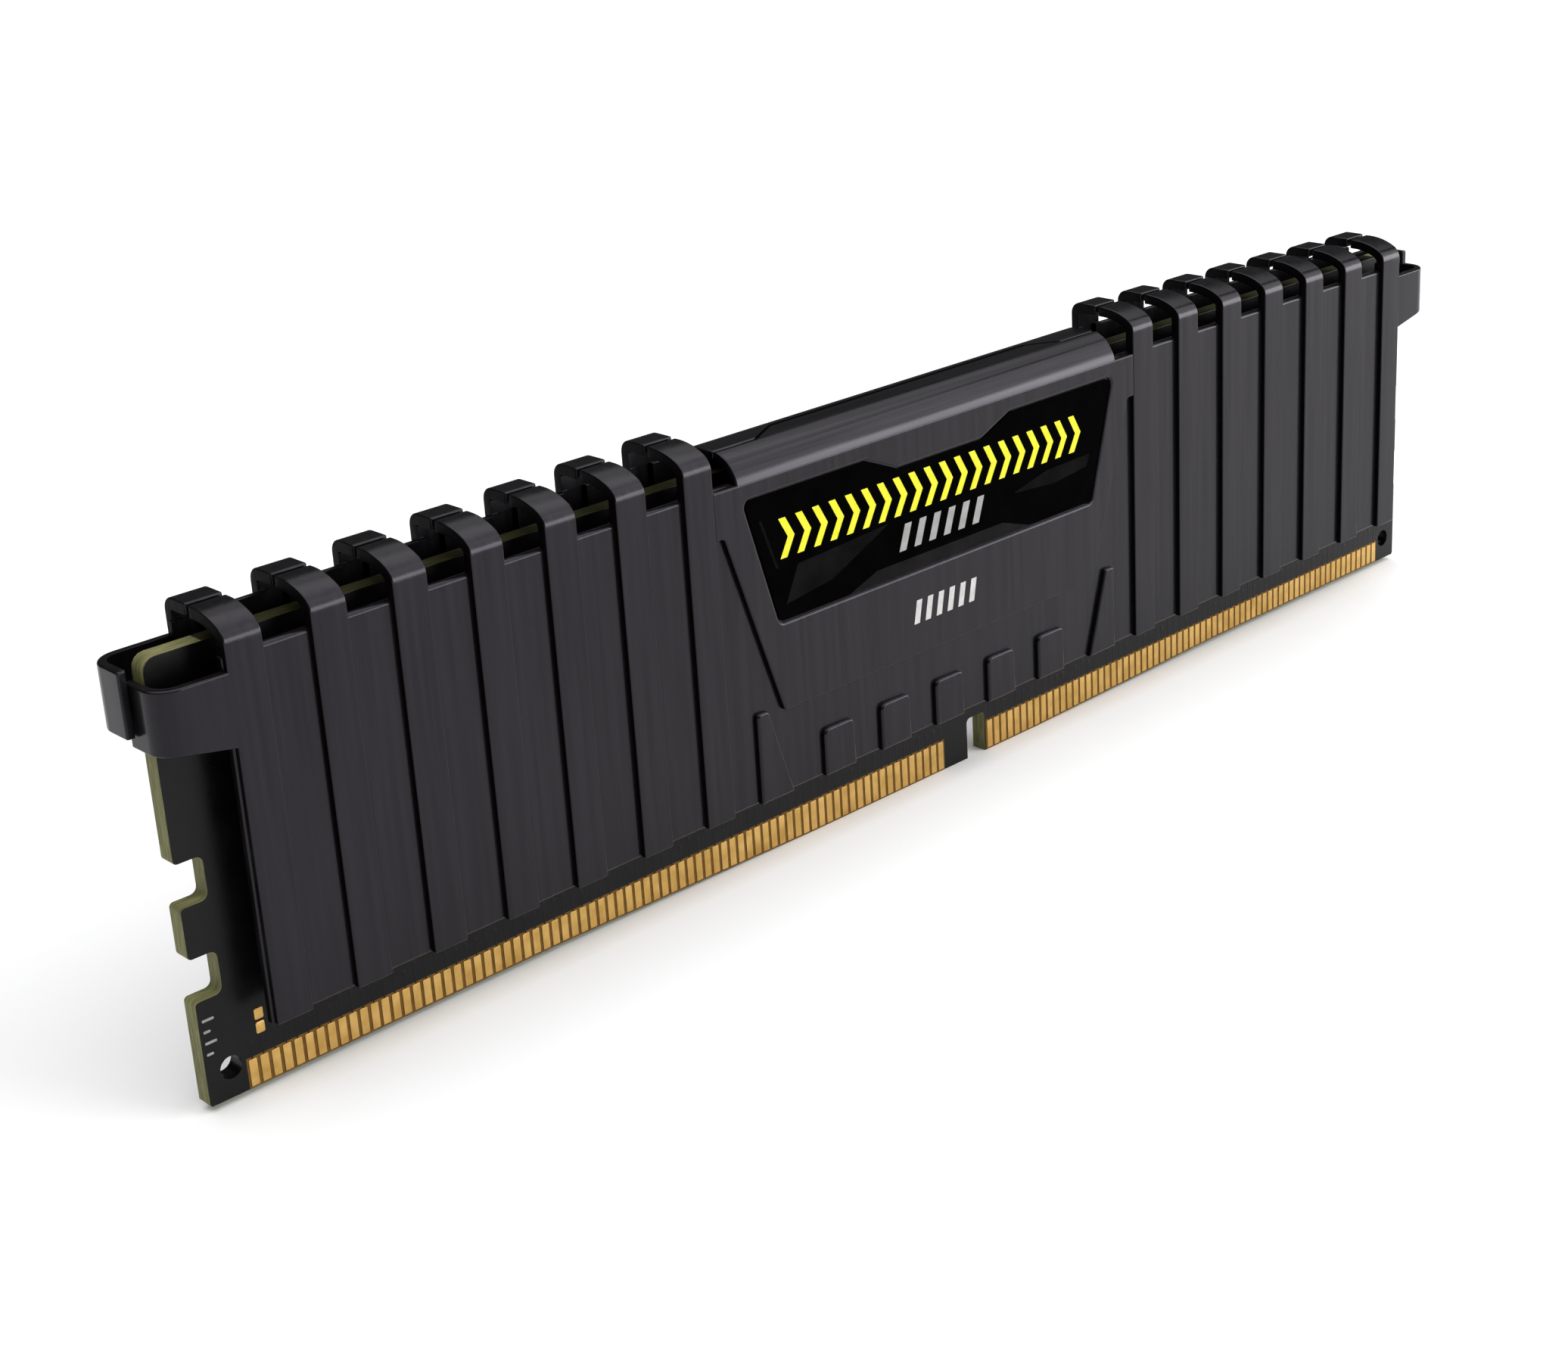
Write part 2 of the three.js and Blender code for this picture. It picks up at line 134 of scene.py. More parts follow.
SHIELD = ((17.8, 12.4), (22.6, 27.2))
SHIELD_TOP_HALF = 23.4
SHIELD_RADIUS = 0.3
SHIELD_EDGE = 0.15
TAB_COUNT = 5
TAB_PITCH = 6.15
TAB_WIDTH = 3.3
TAB_TOP = 9.55
TAB_RADIUS = 0.6
TAB_FOOT_RADIUS = 0.1
TAPER_TAB_RADIUS = 0.4
TAPER_TAB = ((17.2, PLATE_BOTTOM), (20.6, PLATE_BOTTOM), (20.6, 12.95), (19.4, 12.95))

LABEL = ((17.65, 19.4), (20.5, 29.4))
LABEL_NOTCH = ((8.1, 29.4), (4.7, 27.95))
LABEL_RADIUS = 0.5
LABEL_NOTCH_RADIUS = 0.4
LABEL_THICKNESS = 0.15
LABEL_EDGE = 0.04
POCKET_DEPTH = 0.25
POCKET_MARGIN = 0.15
# The pocket's rim, as (how far out, how far up) from the pocket's wall and the face.
POCKET_RIM = ((0, -POCKET_DEPTH), (0, -0.12), (0.04, -0.07), (0.12, -0.03), (0.26, 0), (0.5, 0.03))
PRINT = 0.02

CHIP_COUNT = 8
CHIP_SUBSTRATE = 0.35
CHIP_OVERLAP = 0.05
CHIP_INSET = 0.1
CHIP_EDGE = 0.06
PASSIVE_COUNT = 4
CAP_SHARE = 0.18
CAP_STEP = 0.04

# ---- outlines and lofts -------------------------------------------------------------------------

# TINY rounds a sharp edge and sinks a piece into what it lies on. THROUGH and BEYOND are how far
# a cutting or joining shape reaches past the surface that it meets.
TINY = 0.02
THROUGH = 0.05
BEYOND = 1


def spaced(first, pitch, count):
    """Equally spaced places along a line."""
    return [first + i * pitch for i in range(count)]


def turned(arriving, leaving):
    """The signed angle from one direction to the next, positive to the left."""
    cross = arriving.x * leaving.y - arriving.y * leaving.x
    return math.atan2(cross, arriving.dot(leaving))


def rounded_corner(corner, arriving, leaving, radius, steps):
    """Points of the arc that rounds a corner between two directions."""
    turn = turned(arriving, leaving)
    side = 1 if turn > 0 else -1
    start = corner - arriving * (radius * math.tan(abs(turn) / 2))
    centre = start + Vector((-arriving.y, arriving.x)) * (side * radius)
    spoke = start - centre
    return [centre + Matrix.Rotation(turn * k / steps, 2) @ spoke for k in range(steps + 1)]


def ring(corners, grow=0.0, steps=4):
    """A closed outline through [u, v, radius] corners, anticlockwise, pushed outwards by grow."""
    points = []
    for i, (u, v, *rest) in enumerate(corners):
        here = Vector((u, v))
        arriving = (here - Vector(corners[i - 1][:2])).normalized()
        leaving = (Vector(corners[(i + 1) % len(corners)][:2]) - here).normalized()
        out = Vector((arriving.y, -arriving.x)) + Vector((leaving.y, -leaving.x))
        here += out * (grow / (1 + arriving.dot(leaving)))
        bulge = grow if turned(arriving, leaving) > 0 else -grow
        radius = max((rest[0] if rest else 0) + bulge, TINY)
        points += rounded_corner(here, arriving, leaving, radius, steps)
    return points


def open_line(corners, steps=6):
    """An open line through [u, v, radius] points, with its inner corners rounded."""
    points = [Vector(corners[0][:2])]
    for before, (u, v, *rest), after in zip(corners, corners[1:], corners[2:]):
        here = Vector((u, v))
        arriving = (here - Vector(before[:2])).normalized()
        leaving = (Vector(after[:2]) - here).normalized()
        if rest:
            points += rounded_corner(here, arriving, leaving, rest[0], steps)
        else:
            points.append(here)
    return points + [Vector(corners[-1][:2])]


def loft(loops):
    """One closed shell through loops that all have the same number of points."""
    size = len(loops[0])
    vertices = [point for loop in loops for point in loop]
    last = len(vertices) - size
    faces = [tuple(range(size)), tuple(range(last, len(vertices)))]
    for base in range(0, last, size):
        for i in range(size):
            j = (i + 1) % size
            faces.append((base + i, base + j, base + size + j, base + size + i))
    return vertices, faces


def levels(low, high, foot=TINY, crown=EDGE, steps=3):
    """(grow, height) pairs of a stack whose bottom and top edges are rounded."""
    quarter = [math.pi / 2 * k / steps for k in range(steps + 1)]
    up = [(-foot * (1 - math.sin(a)), low + foot * (1 - math.cos(a))) for a in quarter]
    down = [(-crown * (1 - math.cos(a)), high - crown * (1 - math.sin(a))) for a in quarter]
    return up + down


def stack(corners, heights, place, steps=4):
    """A shell of one outline stacked through (grow, height) pairs."""
    return loft([[place(*point, height) for point in ring(corners, grow, steps)] for grow, height in heights])


def on_side(side):
    """Places an (x, z) outline at a depth on one side of the board."""
    return lambda x, z, depth: (x, side * depth, z)


def upright(x, y, z):
    """Places an (x, y) outline at a height."""
    return (x, y, z)


def box(u0, v0, u1, v1, radius=TINY):
    """A rectangle between two opposite corners."""
    return [(u0, v0, radius), (u1, v0, radius), (u1, v1, radius), (u0, v1, radius)]


def disc(u, v, radius, roundness=0.999):
    """A square whose corners are rounded almost to its middle."""
    return box(u - radius, v - radius, u + radius, v + radius, radius * roundness)


def mirrored(corners):
    """The outline on the other side of the middle, still anticlockwise."""
    return [(-u, *rest) for u, *rest in reversed(corners)]


def folded_sheet(line, span, thickness, place, crown=0.15, tip=0.12):
    """A shell of sheet metal that follows a line, which is its outer face.

    span and thickness give the sheet's extent across the line and its depth at a point of it."""
    loops = []
    last = len(line) - 1
    for i, point in enumerate(line):
        along = (line[min(i + 1, last)] - line[max(i - 1, 0)]).normalized()
        inward = Vector((-along.y, along.x))
        low, high = span(*point)
        thick = thickness(*point)
        corners = [(low, 0, crown), (high, 0, crown), (high, thick, TINY), (low, thick, TINY)]
        rounds = [(0, 0)]
        if i in (0, last):
            quarter = [math.pi / 6 * k for k in range(4)]
            rounds = [(tip * (1 - math.sin(a)), tip * (1 - math.cos(a))) for a in quarter]
        if i == last:
            rounds.reverse()
        for inset, back in rounds:
            origin = point + along * (back if i == 0 else -back)
            section = ring(corners, -inset, 3)
            loops.append([place(*(origin + inward * depth), across) for across, depth in section])
    return loft(loops)


# ---- meshes and booleans ------------------------------------------------------------------------


def make_object(name, shells, *materials):
    """An object in millimetres that holds closed shells, with its faces turned outwards."""
    mesh = bmesh.new()
    for vertices, faces in shells:
        made = [mesh.verts.new(v) for v in vertices]
        for face in faces:
            mesh.faces.new([made[i] for i in face])
    bmesh.ops.recalc_face_normals(mesh, faces=mesh.faces)
    data = bpy.data.meshes.new(name)
    mesh.to_mesh(data)
    mesh.free()
    for material in materials:
        data.materials.append(material)
    made = bpy.data.objects.new(name, data)
    bpy.context.scene.collection.objects.link(made)
    return made


def apply_modifiers(piece):
    """Replaces an object's mesh by what its modifiers make of it."""
    evaluated = piece.evaluated_get(bpy.context.evaluated_depsgraph_get())
    data = bpy.data.meshes.new_from_object(evaluated)
    old = piece.data
    piece.modifiers.clear()
    piece.data = data
    bpy.data.meshes.remove(old)


def apply_boolean(piece, operation, tool):
    """Joins a tool to a piece, or cuts it out, and deletes the tool."""
    step = piece.modifiers.new("step", "BOOLEAN")
    step.operation = operation
    step.solver = "MANIFOLD"
    step.object = tool
    bpy.context.view_layer.update()
    apply_modifiers(piece)
    bpy.data.meshes.remove(tool.data)


def combine(piece, operation, shells):
    """Joins shells to a piece, or cuts them out of it, one after another."""
    for shell in shells:
        apply_boolean(piece, operation, make_object("tool", [shell]))


def finish_piece(piece, replaced=(), smooth=35):
    """Turns a piece into metres, shades it and hands it to the frame."""
    piece.data.transform(Matrix.Scale(MM, 4))
    piece.data.shade_smooth()
    piece.data.set_sharp_from_angle(angle=math.radians(smooth))
    even = piece.modifiers.new("even_normals", "WEIGHTED_NORMAL")
    even.keep_sharp = True
    even.weight = 100
    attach(piece, "root")
    if replaced:
        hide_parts(*replaced)
    return piece


# ---- materials ----------------------------------------------------------------------------------

# Noise seldom leaves this span, so tones and ranges are laid over it.
NOISE_LOW = 0.3
NOISE_HIGH = 0.7


def new_material(name, base, roughness, metallic=0.0, specular=0.5, tint=(1, 1, 1)):
    """A principled material; returns it with its node tree and shader."""
    material = bpy.data.materials.new(name)
    material.use_nodes = True
    shader = material.node_tree.nodes["Principled BSDF"]
    shader.inputs["Base Color"].default_value = (*base, 1)
    shader.inputs["Roughness"].default_value = roughness
    shader.inputs["Metallic"].default_value = metallic
    shader.inputs["Specular IOR Level"].default_value = specular
    shader.inputs["Specular Tint"].default_value = (*tint, 1)
    return material, material.node_tree, shader


def add_noise(tree, feature, detail=3.0, stretch=(1, 1, 1)):
    """Noise whose features are about this many millimetres across, in the object's own frame."""
    place = tree.nodes.new("ShaderNodeTexCoord")
    mapping = tree.nodes.new("ShaderNodeMapping")
    mapping.inputs["Scale"].default_value = [1 / (MM * feature * s) for s in stretch]
    noise = tree.nodes.new("ShaderNodeTexNoise")
    noise.inputs["Scale"].default_value = 1
    noise.inputs["Detail"].default_value = detail
    tree.links.new(place.outputs["Object"], mapping.inputs["Vector"])
    tree.links.new(mapping.outputs["Vector"], noise.inputs["Vector"])
    return noise.outputs["Fac"]


def add_ramp(tree, factor, stops):
    """A colour ramp over (position, colour) stops."""
    ramp = tree.nodes.new("ShaderNodeValToRGB")
    while len(ramp.color_ramp.elements) < len(stops):
        ramp.color_ramp.elements.new(1)
    for element, (position, colour) in zip(ramp.color_ramp.elements, stops):
        element.position = position
        element.color = (*colour, 1)
    tree.links.new(factor, ramp.inputs["Fac"])
    return ramp.outputs["Color"]


def add_tone(tree, noise, dark, light):
    """Colour that varies with noise from dark to light."""
    return add_ramp(tree, noise, [(NOISE_LOW, dark), (NOISE_HIGH, light)])


def add_range(tree, noise, low, high):
    """Maps noise to a span of values."""
    span = tree.nodes.new("ShaderNodeMapRange")
    span.inputs["From Min"].default_value = NOISE_LOW
    span.inputs["From Max"].default_value = NOISE_HIGH
    span.inputs["To Min"].default_value = low
    span.inputs["To Max"].default_value = high
    tree.links.new(noise, span.inputs["Value"])
    return span.outputs["Result"]


def add_bump(tree, shader, height, depth, strength=1.0):
    """Relief whose full height is this many millimetres."""
    bump = tree.nodes.new("ShaderNodeBump")
    bump.inputs["Distance"].default_value = MM * depth
    bump.inputs["Strength"].default_value = strength
    tree.links.new(height, bump.inputs["Height"])
    tree.links.new(bump.outputs["Normal"], shader.inputs["Normal"])


def brushed(name, length, specular):
    """Dark anodised sheet with a brushed grain, whose streaks are this long along X, Y and Z."""
    material, tree, shader = new_material(name, (0.0055, 0.005, 0.0056), 0.2, tint=(1, 0.93, 1.08))
    streaks = add_noise(tree, 1.0, 3.0, stretch=length)
    tone = add_tone(tree, streaks, (0.0046, 0.0042, 0.0047), (0.0064, 0.0058, 0.0065))
    tree.links.new(tone, shader.inputs["Base Color"])
    tree.links.new(add_range(tree, streaks, 0.18, 0.24), shader.inputs["Roughness"])
    tree.links.new(add_range(tree, streaks, *specular), shader.inputs["Specular IOR Level"])
    add_bump(tree, shader, add_noise(tree, 0.09, 2.0), 0.003)
    return material


def mottled(name, dark, light, roughness, feature, relief, **look):
    """A surface whose colour, roughness and relief vary with noise."""
    material, tree, shader = new_material(name, light, roughness[0], **look)
    noise = add_noise(tree, feature)
    tree.links.new(add_tone(tree, noise, dark, light), shader.inputs["Base Color"])
    tree.links.new(add_range(tree, noise, *roughness), shader.inputs["Roughness"])
    grain, depth = relief
    add_bump(tree, shader, add_noise(tree, grain, 2.0), depth)
    return material


def laminate_material(name, shade):
    """Glass-epoxy laminate seen on its edge: thin olive layers along the board."""
    middle = (0.17 * shade, 0.168 * shade, 0.07 * shade)
    material, tree, shader = new_material(name, middle, 0.6, specular=0.2 * shade)
    layers = add_noise(tree, 1.0, 2.0, stretch=(1.5, 0.12, 1.5))
    stops = [(0.5 + 0.2 * k, [value * (1 + 0.4 * k) for value in middle]) for k in (-1, 0, 1)]
    tree.links.new(add_ramp(tree, layers, stops), shader.inputs["Base Color"])
    add_bump(tree, shader, layers, 0.02)
    return material


def build_materials():
    return {
        "anodised": brushed("anodised_aluminium", (0.45, 0.45, 14), (0.21, 0.25)),
        "lip": brushed("anodised_lip", (16, 0.3, 0.3), (0.19, 0.29)),
        # Painted shade: near-black and barely reflective, for the rib walls and strap sides that sit in
        # shade.
        "cut": mottled(
            "cut_edge_painted_shade", (0.0012, 0.0011, 0.0012), (0.002, 0.0018, 0.002), (0.5, 0.6), 1.0,
            (0.15, 0.01), specular=0.06,
        ),
        "mask": mottled(
            "solder_mask", (0.0022, 0.002, 0.0023), (0.0036, 0.0032, 0.0037), (0.27, 0.33), 1.5,
            (0.5, 0.006), specular=0.17,
        ),
        "bare": mottled(
            "bare_laminate", (0.09, 0.045, 0.008), (0.14, 0.07, 0.013), (0.55, 0.65), 0.4,
            (0.15, 0.01), specular=0.1,
        ),
        "laminate": laminate_material("laminate", 1),
        # A darker copy of the laminate: painted shade for the board's top edge, which the straps overhang.
        "laminate_painted_shade": laminate_material("laminate_painted_shade", 0.15),
        "gold": mottled(
            "gold_plating", (0.52, 0.31, 0.085), (0.66, 0.42, 0.14), (0.28, 0.38), 1.2,
            (0.3, 0.004), metallic=1.0,
        ),
        "label": mottled(
            "label_film", (0.0005, 0.0005, 0.0006), (0.001, 0.001, 0.0012), (0.2, 0.26), 2.0,
            (0.6, 0.002), specular=0.003,
        ),
        "label_facet": mottled(
            "label_facet", (0.0022, 0.0022, 0.0023), (0.006, 0.006, 0.0063), (0.22, 0.3), 3.0,
            (0.6, 0.002), specular=0.004,
        ),
        "label_grey": mottled(
            "label_grey", (0.007, 0.007, 0.0073), (0.011, 0.011, 0.0115), (0.3, 0.38), 2.0,
            (0.6, 0.002), specular=0.004,
        ),
        "yellow": mottled(
            "yellow_ink", (0.58, 0.57, 0.02), (0.66, 0.65, 0.03), (0.35, 0.45), 0.8,
            (0.3, 0.003), specular=0.12,
        ),
        "silver": mottled(
            "silver_ink", (0.22, 0.22, 0.215), (0.28, 0.28, 0.275), (0.35, 0.45), 0.8,
            (0.3, 0.003), specular=0.3,
        ),
        "white": mottled(
            "white_ink", (0.4, 0.39, 0.38), (0.5, 0.49, 0.48), (0.5, 0.6), 0.6,
            (0.2, 0.006), specular=0.2,
        ),
        "silkscreen": mottled(
            "board_ink", (0.2, 0.2, 0.2), (0.28, 0.28, 0.27), (0.5, 0.6), 0.5,
            (0.15, 0.006), specular=0.2,
        ),
        "mould": mottled(
            "chip_mould", (0.009, 0.009, 0.01), (0.014, 0.014, 0.015), (0.5, 0.6), 0.7,
            (0.08, 0.01), specular=0.3,
        ),
        "substrate": mottled(
            "chip_substrate", (0.02, 0.05, 0.03), (0.03, 0.07, 0.04), (0.4, 0.5), 0.7,
            (0.2, 0.006), specular=0.4,
        ),
        "solder": mottled(
            "solder_tin", (0.45, 0.45, 0.46), (0.6, 0.6, 0.61), (0.25, 0.4), 0.3,
            (0.2, 0.01), metallic=1.0,
        ),
        "ceramic": mottled(
            "capacitor_ceramic", (0.2, 0.12, 0.06), (0.3, 0.19, 0.1), (0.45, 0.6), 0.3,
            (0.1, 0.01), specular=0.4,
        ),
        "thermal": mottled(
            "thermal_gel", (0.24, 0.26, 0.29), (0.34, 0.36, 0.39), (0.8, 0.95), 1.0,
            (0.3, 0.03), specular=0.2,
        ),
    }


MATERIAL = build_materials()

# ---- the board ----------------------------------------------------------------------------------

BOARD_PAINTS = ("mask", "bare", "laminate", "laminate_painted_shade")

# A face whose normal has this much of an axis in it looks along that axis.
MOSTLY = 0.8


def edge_height(x):
    """Height of the contact edge: low in the middle, high at both ends, with a ramp between."""
    along = (abs(x) - FLAT_HALF) / (RAMP_HALF - FLAT_HALF)
    return END_RISE * min(max(along, 0), 1)


def board_end():
    """The right half's outline from where the contact edge begins to rise, up the end, to the top corner."""
    root = BOARD_HALF - LATCH_DEPTH
    corners = [
        (FLAT_HALF, 0),
        (RAMP_HALF, END_RISE),
        (BOARD_HALF - BOTTOM_CUT, END_RISE),
        (BOARD_HALF, END_RISE + BOTTOM_CUT),
    ]
    for low, high in LATCH_SPANS:
        corners += [
            (BOARD_HALF, low, LATCH_MOUTH_RADIUS),
            (root, low, LATCH_ROOT_RADIUS),
            (root, high, LATCH_ROOT_RADIUS),
            (BOARD_HALF, high, LATCH_MOUTH_RADIUS),
        ]
    return corners + [(BOARD_HALF, BOARD_TOP, BOARD_TOP_RADIUS)]


def board_outline():
    left = KEY_CENTRE - KEY_WIDTH / 2
    right = KEY_CENTRE + KEY_WIDTH / 2
    key = [(left, 0), (left, KEY_TOP, KEY_RADIUS), (right, KEY_TOP, KEY_RADIUS), (right, 0)]
    return key + board_end() + mirrored(board_end())


def pad_spans():
    """The stretches of the contact edge that the two rows of pads cover."""
    margin = PAD_GAP + PAD_WIDTH / 2
    ends = [(first, first + (count - 1) * PAD_PITCH) for first, count in PAD_ROWS.values()]
    return [(first - margin, last + margin) for first, last in ends]


def split_board(mesh):
    """Cuts the board's faces along the lines where their paint changes."""
    cuts = [((0, 0, PAD_TOP + PAD_GAP), (0, 0, 1))]
    # The cuts at the plates' ends bound the painted shade on the board's top edge.
    cuts += [((end * PLATE_HALF, 0, 0), (1, 0, 0)) for end in HALVES.values()]
    cuts += [((x, 0, 0), (1, 0, 0)) for span in pad_spans() for x in span]
    for point, normal in cuts:
        everything = mesh.verts[:] + mesh.edges[:] + mesh.faces[:]
        bmesh.ops.bisect_plane(mesh, geom=everything, plane_co=point, plane_no=normal)


def board_paint(centre, normal):
    """Bare round the pads, laminate on the edges, laminate darkened as painted shade on the top edge between
    the plates' ends, else mask.
    """
    # Painted shade: upward faces between the plates' ends, under the straps, get the darker laminate.
    if normal.z > MOSTLY and abs(centre.x) < PLATE_HALF:
        return "laminate_painted_shade"
    if abs(normal.y) < MOSTLY:
        in_hole = math.dist((abs(centre.x), centre.z), HOLE[:2]) < HOLE[2] + TINY
        return "mask" if in_hole else "laminate"
    by_pads = any(low < centre.x < high for low, high in pad_spans())
    return "bare" if by_pads and centre.z < PAD_TOP + PAD_GAP else "mask"


def paint_board(board):
    """Gives each of the board's faces its own paint."""
    mesh = bmesh.new()
    mesh.from_mesh(board.data)
    split_board(mesh)
    for face in mesh.faces:
        face.material_index = BOARD_PAINTS.index(board_paint(face.calc_center_median(), face.normal))
    mesh.to_mesh(board.data)
    mesh.free()


def build_board():
    """The laminate, with its latch notches, key notch and tooling holes."""
    shell = stack(board_outline(), levels(-BOARD_FACE, BOARD_FACE, BOARD_EDGE, BOARD_EDGE, 2), on_side(1))
    board = make_object("printed_board", [shell], *[MATERIAL[key] for key in BOARD_PAINTS])
    x, z, radius = HOLE
    reach = [(0, -BOARD_FACE - BEYOND), (0, BOARD_FACE + BEYOND)]
    for centre in (-x, x):
        combine(board, "DIFFERENCE", [stack(disc(centre, z, radius), reach, on_side(1), 6)])
    paint_board(board)
    finish_piece(board, ["board"])


def pad_levels():
    """A pad is sunk a little into the board's face and stands a little proud of it."""
    return levels(BOARD_FACE - TINY, BOARD_FACE + PAD_PROUD, TINY / 2, TINY, 2)


def pad_corners(x):
    half = PAD_WIDTH / 2
    foot = edge_height(x) + PAD_GAP
    return box(x - half, foot, x + half, PAD_TOP, PAD_RADIUS)


def build_contacts(face, half):
    """One row of separate gold pads."""
    first, count = PAD_ROWS[half]
    place = on_side(SIDES[face])
    shells = [stack(pad_corners(x), pad_levels(), place, 2) for x in spaced(first, PAD_PITCH, count)]
    name = f"contacts_{face}_{half}"
    finish_piece(make_object(f"gold_{name}", shells, MATERIAL["gold"]), [name])


def build_traces(face):
    """Traces under the mask: each runs up from a pad and ends in a small round via."""
    chance = random.Random(f"traces {face}")
    place = on_side(SIDES[face])
    slope = TRACE_WIDTH / 4
    heights = [(0, BOARD_FACE - TINY), (0, BOARD_FACE + TRACE_PROUD / 3), (-slope, BOARD_FACE + TRACE_PROUD)]
    shells = []
    for first, count in PAD_ROWS.values():
        for x in spaced(first, PAD_PITCH, count):
            top = PAD_TOP + chance.choice(TRACE_LENGTHS)
            line = box(x - TRACE_WIDTH / 2, PAD_TOP, x + TRACE_WIDTH / 2, top)
            via = disc(x, top + VIA_RADIUS / 2, VIA_RADIUS, 0.95)
            shells.append(stack(line, heights, place, 1))
            shells.append(stack(via, heights, place, 3))
    finish_piece(make_object(f"masked_traces_{face}", shells, MATERIAL["mask"]))


def build_test_pads():
    for name in ("test_pad_lower", "test_pad_upper"):
        low, high = (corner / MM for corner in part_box(name))
        corners = box(low.x, low.z, high.x, high.z, TEST_PAD_RADIUS)
        shell = stack(corners, pad_levels(), on_side(SIDES["front"]))
        finish_piece(make_object(f"gold_{name}", [shell], MATERIAL["gold"]), [name])


def build_ticks():
    """A column of pale printed ticks above the left tooling hole, short and long in turn."""
    heights = [(0, BOARD_FACE - TINY), (0, BOARD_FACE + PRINT)]
    left, lowest = TICK_CORNER
    shells = []
    for k, foot in enumerate(spaced(lowest, TICK_PITCH, TICK_COUNT)):
        tick = box(left, foot, left + TICK_LENGTHS[k % 2], foot + TICK_WIDTH, TICK_WIDTH / 3)
        shells.append(stack(tick, heights, on_side(SIDES["front"]), 2))
    finish_piece(make_object("board_print", shells, MATERIAL["silkscreen"]))


# ---- the heat spreader --------------------------------------------------------------------------

# The cut paint is painted shade on the faces that look along X.
PLATE_PAINTS = ("anodised", "cut", "lip")


def rib_edges():
    """The left edge of each rib, from the left end of the plate to the right."""
    left = spaced(-PLATE_HALF, RIB_PITCH, RIB_COUNT)
    return left + [-x - RIB_WIDTH for x in reversed(left)]


def strap_rise(x):
    """How much higher the strap of the rib at x stands than the end ones."""
    from_end = PLATE_HALF - RIB_WIDTH / 2 - abs(x + RIB_WIDTH / 2)
    return STRAP_RISE * from_end / ((RIB_COUNT - 1) * RIB_PITCH)


def rib_top(face, x):
    """How high a rib's side walls reach: to the notch floor, and a little above it at the plate's ends."""
    centre = abs(x + RIB_WIDTH / 2)
    end, middle = NOTCH_FLOORS[face]
    floor = end + (middle - end) * (PLATE_HALF - centre) / (PLATE_HALF - LIP_HALF)
    return max(floor, END_WALL_TOP) if centre > PLATE_HALF - RIB_WIDTH else floor


def across_x(side):
    """Places a (depth, z) line that runs across X on one side of the board."""
    return lambda depth, z, across: (across, side * depth, z)


def bent_line(start, bends, steps=6):
    """Points up to a bend and round its arcs, each (radius, lean when it ends), all turning left."""
    line = [start]
    lean = 0.0
    for radius, next_degrees in bends:
        next_lean = math.radians(next_degrees)
        centre = line[-1] - Vector((math.cos(lean), math.sin(lean))) * radius
        for k in range(1, steps + 1):
            angle = lean + (next_lean - lean) * k / steps
            line.append(centre + Vector((math.cos(angle), math.sin(angle))) * radius)
        lean = next_lean
    return line


def rib_and_strap(face, x, bend_z, bends, tip):
    """A rib runs up the face, and its strap carries on round its bends and over the board."""
    side = SIDES[face]
    top = rib_top(face, x)
    bent = bent_line(Vector((FACE, bend_z + strap_rise(x))), bends)
    below = [Vector((FACE, z)) for z in (PLATE_BOTTOM, top - TINY, top)]
    line = [*below, *bent, Vector((tip, bent[-1].y))]

    def span(depth, z):
        return x, x + RIB_WIDTH

    def thickness(depth, z):
        return FACE - PANEL_INNER if z < top - TINY / 2 else STRAP_SHEET

    return folded_sheet(line, span, thickness, across_x(side), crown=RIB_EDGE)


def hollow(corners, side):
    """What is cut out behind raised metal, to leave a sheet."""
    return stack(corners, [(0, PANEL_INNER - BEYOND), (0, RAISED_INNER)], on_side(side), 1)


def rib_hollow(face, x):
    top = rib_top(face, x) + THROUGH
    return hollow(box(x + SHEET, PLATE_BOTTOM - BEYOND, x + RIB_WIDTH - SHEET, top), SIDES[face])


def shield(side):
    """The raised middle of the plate, and the hollow behind it."""
    (bottom_half, bottom), (top_half, shoulder) = SHIELD
    right = [
        (bottom_half, bottom, SHIELD_RADIUS),
        (top_half, shoulder, SHIELD_RADIUS),
        (SHIELD_TOP_HALF, shoulder),
        (SHIELD_TOP_HALF, PANEL_TOP, SHIELD_RADIUS / 3),
    ]
    boss = stack(right + mirrored(right), levels(PANEL_INNER, FACE, crown=SHIELD_EDGE), on_side(side))
    inner = [
        (bottom_half - SHEET, bottom + SHEET),
        (top_half - 2 * SHEET, shoulder),
        (LIP_HALF - SHEET, PANEL_TOP + THROUGH),
    ]
    return boss, hollow(inner + mirrored(inner), side)


def tabs(side):
    """The short raised tabs with their hollows, and the solid tapered one at each end of their row."""
    bosses = []
    hollows = []
    heights = levels(PANEL_INNER, FACE)
    for i in range(TAB_COUNT):
        centre = (i - (TAB_COUNT - 1) / 2) * TAB_PITCH
        left = centre - TAB_WIDTH / 2
        right = centre + TAB_WIDTH / 2
        corners = [
            (left, PLATE_BOTTOM, TAB_FOOT_RADIUS),
            (right, PLATE_BOTTOM, TAB_FOOT_RADIUS),
            (right, TAB_TOP, TAB_RADIUS),
            (left, TAB_TOP, TAB_RADIUS),
        ]
        bosses.append(stack(corners, heights, on_side(side), 6))
        hollows.append(hollow(box(left + SHEET, PLATE_BOTTOM - BEYOND, right - SHEET, TAB_TOP - SHEET), side))
    radii = (TAB_FOOT_RADIUS, TAB_FOOT_RADIUS, TAPER_TAB_RADIUS, TAPER_TAB_RADIUS)
    right_tab = [(*corner, radius) for corner, radius in zip(TAPER_TAB, radii)]
    for corners in (right_tab, mirrored(right_tab)):
        bosses.append(stack(corners, heights, on_side(side), 6))
    return bosses, hollows


